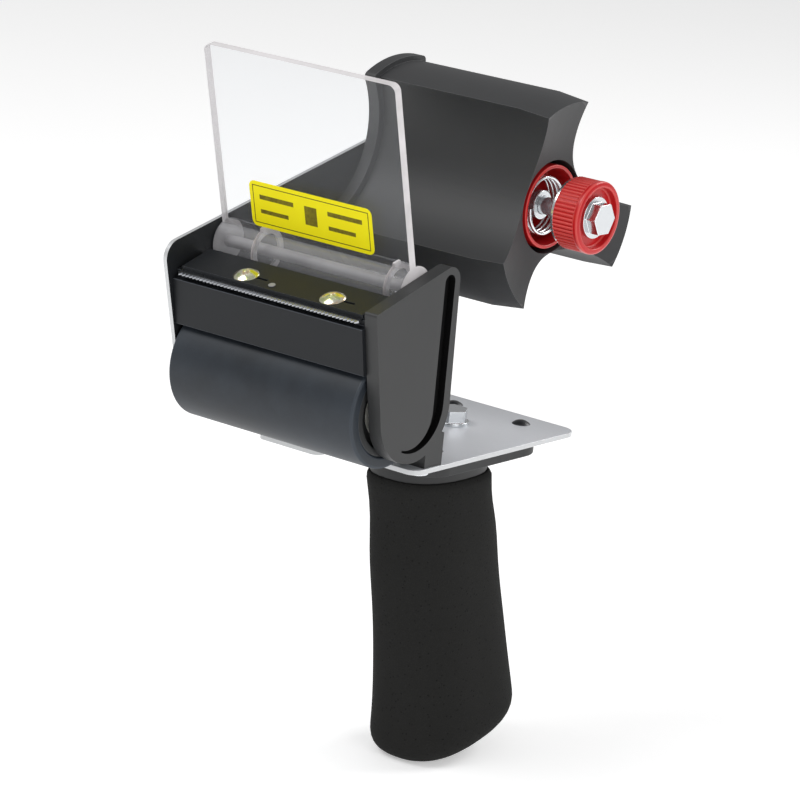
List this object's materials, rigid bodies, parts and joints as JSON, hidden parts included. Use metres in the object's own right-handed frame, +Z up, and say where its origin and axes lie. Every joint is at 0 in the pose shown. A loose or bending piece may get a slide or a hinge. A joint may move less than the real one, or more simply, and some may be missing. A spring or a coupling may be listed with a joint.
{
  "type": "packing tape dispenser",
  "caption": "Hand-held pistol-grip packing tape dispenser with lobed tape hub, brake knob, rubber roller, serrated blade and clear hinged guard.",
  "frame": {"origin": "middle of the foam grip's flat top, where the hand closes under the frame", "axes": "+Z up, square to the base plate; +X along the roller and the tape hub towards the open side where the roll goes on; -Y to the front, where the blade and the roller are"},
  "size_m": [0.1004, 0.1531, 0.2479],
  "materials": {
    "zinc_plate": "bright zinc plate",
    "black_steel": "satin black",
    "black_plastic": "satin moulded",
    "hub_plastic": "satin moulded, fine texture",
    "foam": "matte closed-cell foam",
    "roller_rubber": "smooth ground rubber",
    "blade_steel": "bright ground",
    "yellow_zinc": "yellow zinc plate",
    "fastener_zinc": "bright zinc plate",
    "clear_plastic": "clear polished",
    "label": "printed film",
    "red_plastic": "semi-gloss moulded",
    "spring_steel": "bright wire",
    "bush_plastic": "natural",
    "friction_felt": "felt",
    "black_oxide": "black oxide",
    "core_plastic": "moulded"
  },
  "bodies": {
    "root": {"base_plate": "zinc_plate", "side_plate": "black_steel", "side_foot_rivets": "fastener_zinc", "plate_rivets": "black_oxide", "grip_head": "black_plastic", "foam_grip": "foam", "grip_bolts": "fastener_zinc", "right_cover": "black_plastic", "cover_screws": "fastener_zinc", "blade_bridge": "black_steel", "bridge_screws_left": "fastener_zinc", "bridge_screws_right": "fastener_zinc", "blade": "blade_steel", "blade_clamp": "black_steel", "blade_screws": "yellow_zinc", "blade_nuts": "fastener_zinc", "clamp_pin": "fastener_zinc", "roller_axle": "fastener_zinc", "axle_screw": "fastener_zinc", "guard_rod": "fastener_zinc", "rod_clip": "black_oxide", "hub_spindle": "fastener_zinc", "spindle_washer": "fastener_zinc", "spindle_nut": "fastener_zinc", "brake_cup": "red_plastic", "brake_spring": "spring_steel"},
    "roller": {"roller_sleeve": "roller_rubber", "roller_core": "core_plastic", "roller_bushes": "bush_plastic"},
    "guard": {"guard": "clear_plastic", "guard_label": "label"},
    "hub": {"tape_hub": "hub_plastic", "hub_bushes": "bush_plastic", "friction_disc": "friction_felt"},
    "thrust_washer": {"thrust_washer": "fastener_zinc"},
    "knob": {"knob": "red_plastic", "knob_bolt": "fastener_zinc"}
  },
  "joints": [
    {"name": "roller_spin", "type": "hinge", "parent": "root", "child": "roller", "pos_m": [-0.0108, -0.0618, 0.0356], "axis": [1, 0, 0], "continuous": true},
    {"name": "hub_spin", "type": "hinge", "parent": "root", "child": "hub", "pos_m": [-0.0108, 0.0282, 0.0912], "axis": [1, 0, 0], "continuous": true},
    {"name": "guard_hinge", "type": "hinge", "parent": "root", "child": "guard", "pos_m": [-0.0108, -0.055, 0.0748], "axis": [1, 0, 0], "range_deg": [-20, 50]},
    {"name": "knob_travel", "type": "slide", "parent": "root", "child": "thrust_washer", "axis": [-1, 0, 0], "range_m": [0, 0.011], "deforming": ["brake_spring"]},
    {"name": "knob_turn", "type": "hinge", "parent": "thrust_washer", "child": "knob", "pos_m": [0.0281, 0.0282, 0.0912], "axis": [1, 0, 0], "range_deg": [-3960, 0]}
  ],
  "couplings": [
    {"joint": "knob_travel", "follows": "knob_turn", "m_per_rad": -0.00015915}
  ]
}
